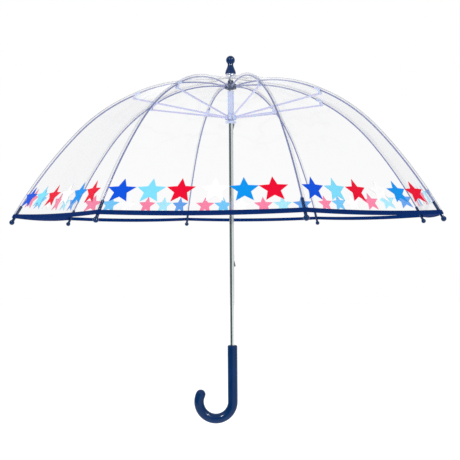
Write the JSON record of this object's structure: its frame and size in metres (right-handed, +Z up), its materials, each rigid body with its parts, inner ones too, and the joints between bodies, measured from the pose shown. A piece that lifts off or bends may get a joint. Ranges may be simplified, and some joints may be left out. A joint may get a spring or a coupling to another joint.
{
  "type": "children's umbrella",
  "caption": "Clear dome umbrella for a child, open, with a navy hem, ball tips, straight shaft, sliding runner and hooked navy handle.",
  "frame": {"origin": "on the shaft's axis at the middle of the grip", "axes": "+Z up the shaft to the top, -X towards the open side of the hook, hook in the XZ plane"},
  "size_m": [0.7134, 0.7134, 0.6315],
  "materials": {
    "navy_plastic": "glossy moulded plastic, navy blue",
    "hem_fabric": "woven binding tape, navy blue",
    "shaft_metal": "bright plated steel tube",
    "wire_metal": "plain steel wire",
    "milky_plastic": "smooth pale blue-white plastic",
    "rib_rod": "smooth translucent glass-fibre rod",
    "clear_plastic": "clear moulded plastic",
    "clear_film": "clear flexible film with printed stars"
  },
  "bodies": {
    "shaft": {"shaft_tube": "shaft_metal", "handle": "navy_plastic", "finial": "navy_plastic", "top_washer": "clear_plastic", "crown": "navy_plastic", "crown_wire": "wire_metal", "crown_pin": "wire_metal", "canopy_hem": "hem_fabric"},
    "rib_1": {"rib_inner_1": "rib_rod", "rib_joint_1": "milky_plastic"},
    "rib_end_1": {"rib_outer_1": "rib_rod", "rib_tip_1": "navy_plastic", "canopy_gore_1": "clear_film"},
    "stretcher_arm_1": {"stretcher_1": "milky_plastic"},
    "rib_2": {"rib_inner_2": "rib_rod", "rib_joint_2": "milky_plastic"},
    "rib_end_2": {"rib_outer_2": "rib_rod", "rib_tip_2": "navy_plastic", "canopy_gore_2": "clear_film"},
    "stretcher_arm_2": {"stretcher_2": "milky_plastic"},
    "rib_3": {"rib_inner_3": "rib_rod", "rib_joint_3": "milky_plastic"},
    "rib_end_3": {"rib_outer_3": "rib_rod", "rib_tip_3": "navy_plastic", "canopy_gore_3": "clear_film"},
    "stretcher_arm_3": {"stretcher_3": "milky_plastic"},
    "rib_4": {"rib_inner_4": "rib_rod", "rib_joint_4": "milky_plastic"},
    "rib_end_4": {"rib_outer_4": "rib_rod", "rib_tip_4": "navy_plastic", "canopy_gore_4": "clear_film"},
    "stretcher_arm_4": {"stretcher_4": "milky_plastic"},
    "rib_5": {"rib_inner_5": "rib_rod", "rib_joint_5": "milky_plastic"},
    "rib_end_5": {"rib_outer_5": "rib_rod", "rib_tip_5": "navy_plastic", "canopy_gore_5": "clear_film"},
    "stretcher_arm_5": {"stretcher_5": "milky_plastic"},
    "rib_6": {"rib_inner_6": "rib_rod", "rib_joint_6": "milky_plastic"},
    "rib_end_6": {"rib_outer_6": "rib_rod", "rib_tip_6": "navy_plastic", "canopy_gore_6": "clear_film"},
    "stretcher_arm_6": {"stretcher_6": "milky_plastic"},
    "rib_7": {"rib_inner_7": "rib_rod", "rib_joint_7": "milky_plastic"},
    "rib_end_7": {"rib_outer_7": "rib_rod", "rib_tip_7": "navy_plastic", "canopy_gore_7": "clear_film"},
    "stretcher_arm_7": {"stretcher_7": "milky_plastic"},
    "rib_8": {"rib_inner_8": "rib_rod", "rib_joint_8": "milky_plastic"},
    "rib_end_8": {"rib_outer_8": "rib_rod", "rib_tip_8": "navy_plastic", "canopy_gore_8": "clear_film"},
    "stretcher_arm_8": {"stretcher_8": "milky_plastic"},
    "runner_slider": {"runner": "milky_plastic", "runner_wire": "wire_metal"},
    "upper_spring": {"upper_catch": "wire_metal"},
    "lower_spring": {"lower_catch": "wire_metal"}
  },
  "joints": [
    {"name": "canopy_fold", "type": "hinge", "parent": "shaft", "child": "rib_1", "pos_m": [0.00194, -0.00724, 0.487], "axis": [0.9659, 0.2588, 0], "range_deg": [0, 76.6], "deforming": ["canopy_gore_1", "canopy_gore_2", "canopy_gore_3", "canopy_gore_4", "canopy_gore_5", "canopy_gore_6", "canopy_gore_7", "canopy_gore_8", "canopy_hem"]},
    {"name": "rib_flex_1", "type": "hinge", "parent": "rib_1", "child": "rib_end_1", "pos_m": [0.04348, -0.16228, 0.465], "axis": [0.9659, 0.2588, 0], "range_deg": [-32.18, 0]},
    {"name": "stretcher_swing_1", "type": "hinge", "parent": "rib_1", "child": "stretcher_arm_1", "pos_m": [0.04322, -0.16131, 0.4605], "axis": [0.9659, 0.2588, 0], "range_deg": [-153.2, 0]},
    {"name": "rib_fold_2", "type": "hinge", "parent": "shaft", "child": "rib_2", "pos_m": [0.00649, -0.00375, 0.487], "axis": [0.5, 0.866, 0], "range_deg": [0, 76.6]},
    {"name": "rib_flex_2", "type": "hinge", "parent": "rib_2", "child": "rib_end_2", "pos_m": [0.14549, -0.084, 0.465], "axis": [0.5, 0.866, 0], "range_deg": [-32.18, 0]},
    {"name": "stretcher_swing_2", "type": "hinge", "parent": "rib_2", "child": "stretcher_arm_2", "pos_m": [0.14463, -0.0835, 0.4605], "axis": [0.5, 0.866, 0], "range_deg": [-153.2, 0]},
    {"name": "rib_fold_3", "type": "hinge", "parent": "shaft", "child": "rib_3", "pos_m": [0.00724, 0.00194, 0.487], "axis": [-0.2588, 0.9659, 0], "range_deg": [0, 76.6]},
    {"name": "rib_flex_3", "type": "hinge", "parent": "rib_3", "child": "rib_end_3", "pos_m": [0.16228, 0.04348, 0.465], "axis": [-0.2588, 0.9659, 0], "range_deg": [-32.18, 0]},
    {"name": "stretcher_swing_3", "type": "hinge", "parent": "rib_3", "child": "stretcher_arm_3", "pos_m": [0.16131, 0.04322, 0.4605], "axis": [-0.2588, 0.9659, 0], "range_deg": [-153.2, 0]},
    {"name": "rib_fold_4", "type": "hinge", "parent": "shaft", "child": "rib_4", "pos_m": [0.00375, 0.00649, 0.487], "axis": [-0.866, 0.5, 0], "range_deg": [0, 76.6]},
    {"name": "rib_flex_4", "type": "hinge", "parent": "rib_4", "child": "rib_end_4", "pos_m": [0.084, 0.14549, 0.465], "axis": [-0.866, 0.5, 0], "range_deg": [-32.18, 0]},
    {"name": "stretcher_swing_4", "type": "hinge", "parent": "rib_4", "child": "stretcher_arm_4", "pos_m": [0.0835, 0.14463, 0.4605], "axis": [-0.866, 0.5, 0], "range_deg": [-153.2, 0]},
    {"name": "rib_fold_5", "type": "hinge", "parent": "shaft", "child": "rib_5", "pos_m": [-0.00194, 0.00724, 0.487], "axis": [-0.9659, -0.2588, 0], "range_deg": [0, 76.6]},
    {"name": "rib_flex_5", "type": "hinge", "parent": "rib_5", "child": "rib_end_5", "pos_m": [-0.04348, 0.16228, 0.465], "axis": [-0.9659, -0.2588, 0], "range_deg": [-32.18, 0]},
    {"name": "stretcher_swing_5", "type": "hinge", "parent": "rib_5", "child": "stretcher_arm_5", "pos_m": [-0.04322, 0.16131, 0.4605], "axis": [-0.9659, -0.2588, 0], "range_deg": [-153.2, 0]},
    {"name": "rib_fold_6", "type": "hinge", "parent": "shaft", "child": "rib_6", "pos_m": [-0.00649, 0.00375, 0.487], "axis": [-0.5, -0.866, 0], "range_deg": [0, 76.6]},
    {"name": "rib_flex_6", "type": "hinge", "parent": "rib_6", "child": "rib_end_6", "pos_m": [-0.14549, 0.084, 0.465], "axis": [-0.5, -0.866, 0], "range_deg": [-32.18, 0]},
    {"name": "stretcher_swing_6", "type": "hinge", "parent": "rib_6", "child": "stretcher_arm_6", "pos_m": [-0.14463, 0.0835, 0.4605], "axis": [-0.5, -0.866, 0], "range_deg": [-153.2, 0]},
    {"name": "rib_fold_7", "type": "hinge", "parent": "shaft", "child": "rib_7", "pos_m": [-0.00724, -0.00194, 0.487], "axis": [0.2588, -0.9659, 0], "range_deg": [0, 76.6]},
    {"name": "rib_flex_7", "type": "hinge", "parent": "rib_7", "child": "rib_end_7", "pos_m": [-0.16228, -0.04348, 0.465], "axis": [0.2588, -0.9659, 0], "range_deg": [-32.18, 0]},
    {"name": "stretcher_swing_7", "type": "hinge", "parent": "rib_7", "child": "stretcher_arm_7", "pos_m": [-0.16131, -0.04322, 0.4605], "axis": [0.2588, -0.9659, 0], "range_deg": [-153.2, 0]},
    {"name": "rib_fold_8", "type": "hinge", "parent": "shaft", "child": "rib_8", "pos_m": [-0.00375, -0.00649, 0.487], "axis": [0.866, -0.5, 0], "range_deg": [0, 76.6]},
    {"name": "rib_flex_8", "type": "hinge", "parent": "rib_8", "child": "rib_end_8", "pos_m": [-0.084, -0.14549, 0.465], "axis": [0.866, -0.5, 0], "range_deg": [-32.18, 0]},
    {"name": "stretcher_swing_8", "type": "hinge", "parent": "rib_8", "child": "stretcher_arm_8", "pos_m": [-0.0835, -0.14463, 0.4605], "axis": [0.866, -0.5, 0], "range_deg": [-153.2, 0]},
    {"name": "runner_pivot", "type": "hinge", "parent": "stretcher_arm_1", "child": "runner_slider", "pos_m": [0.00194, -0.00724, 0.434], "axis": [0.9659, 0.2588, 0], "range_deg": [0, 76.6]},
    {"name": "upper_catch_press", "type": "hinge", "parent": "shaft", "child": "upper_spring", "pos_m": [0, 0, 0.4065], "axis": [-0.1305, -0.9914, 0], "range_deg": [0, 8], "stiffness_Nm_per_rad": 0.3, "springref_deg": -2.86},
    {"name": "lower_catch_press", "type": "hinge", "parent": "shaft", "child": "lower_spring", "pos_m": [0, 0, 0.195], "axis": [0.1305, 0.9914, 0], "range_deg": [0, 8], "stiffness_Nm_per_rad": 0.3, "springref_deg": -2.86}
  ],
  "couplings": [
    {"joint": "rib_flex_1", "follows": "canopy_fold", "ratio": -0.4201},
    {"joint": "stretcher_swing_1", "follows": "canopy_fold", "ratio": -2},
    {"joint": "rib_fold_2", "follows": "canopy_fold", "ratio": 1},
    {"joint": "rib_flex_2", "follows": "canopy_fold", "ratio": -0.4201},
    {"joint": "stretcher_swing_2", "follows": "canopy_fold", "ratio": -2},
    {"joint": "rib_fold_3", "follows": "canopy_fold", "ratio": 1},
    {"joint": "rib_flex_3", "follows": "canopy_fold", "ratio": -0.4201},
    {"joint": "stretcher_swing_3", "follows": "canopy_fold", "ratio": -2},
    {"joint": "rib_fold_4", "follows": "canopy_fold", "ratio": 1},
    {"joint": "rib_flex_4", "follows": "canopy_fold", "ratio": -0.4201},
    {"joint": "stretcher_swing_4", "follows": "canopy_fold", "ratio": -2},
    {"joint": "rib_fold_5", "follows": "canopy_fold", "ratio": 1},
    {"joint": "rib_flex_5", "follows": "canopy_fold", "ratio": -0.4201},
    {"joint": "stretcher_swing_5", "follows": "canopy_fold", "ratio": -2},
    {"joint": "rib_fold_6", "follows": "canopy_fold", "ratio": 1},
    {"joint": "rib_flex_6", "follows": "canopy_fold", "ratio": -0.4201},
    {"joint": "stretcher_swing_6", "follows": "canopy_fold", "ratio": -2},
    {"joint": "rib_fold_7", "follows": "canopy_fold", "ratio": 1},
    {"joint": "rib_flex_7", "follows": "canopy_fold", "ratio": -0.4201},
    {"joint": "stretcher_swing_7", "follows": "canopy_fold", "ratio": -2},
    {"joint": "rib_fold_8", "follows": "canopy_fold", "ratio": 1},
    {"joint": "rib_flex_8", "follows": "canopy_fold", "ratio": -0.4201},
    {"joint": "stretcher_swing_8", "follows": "canopy_fold", "ratio": -2},
    {"joint": "runner_pivot", "follows": "canopy_fold", "ratio": 1}
  ]
}
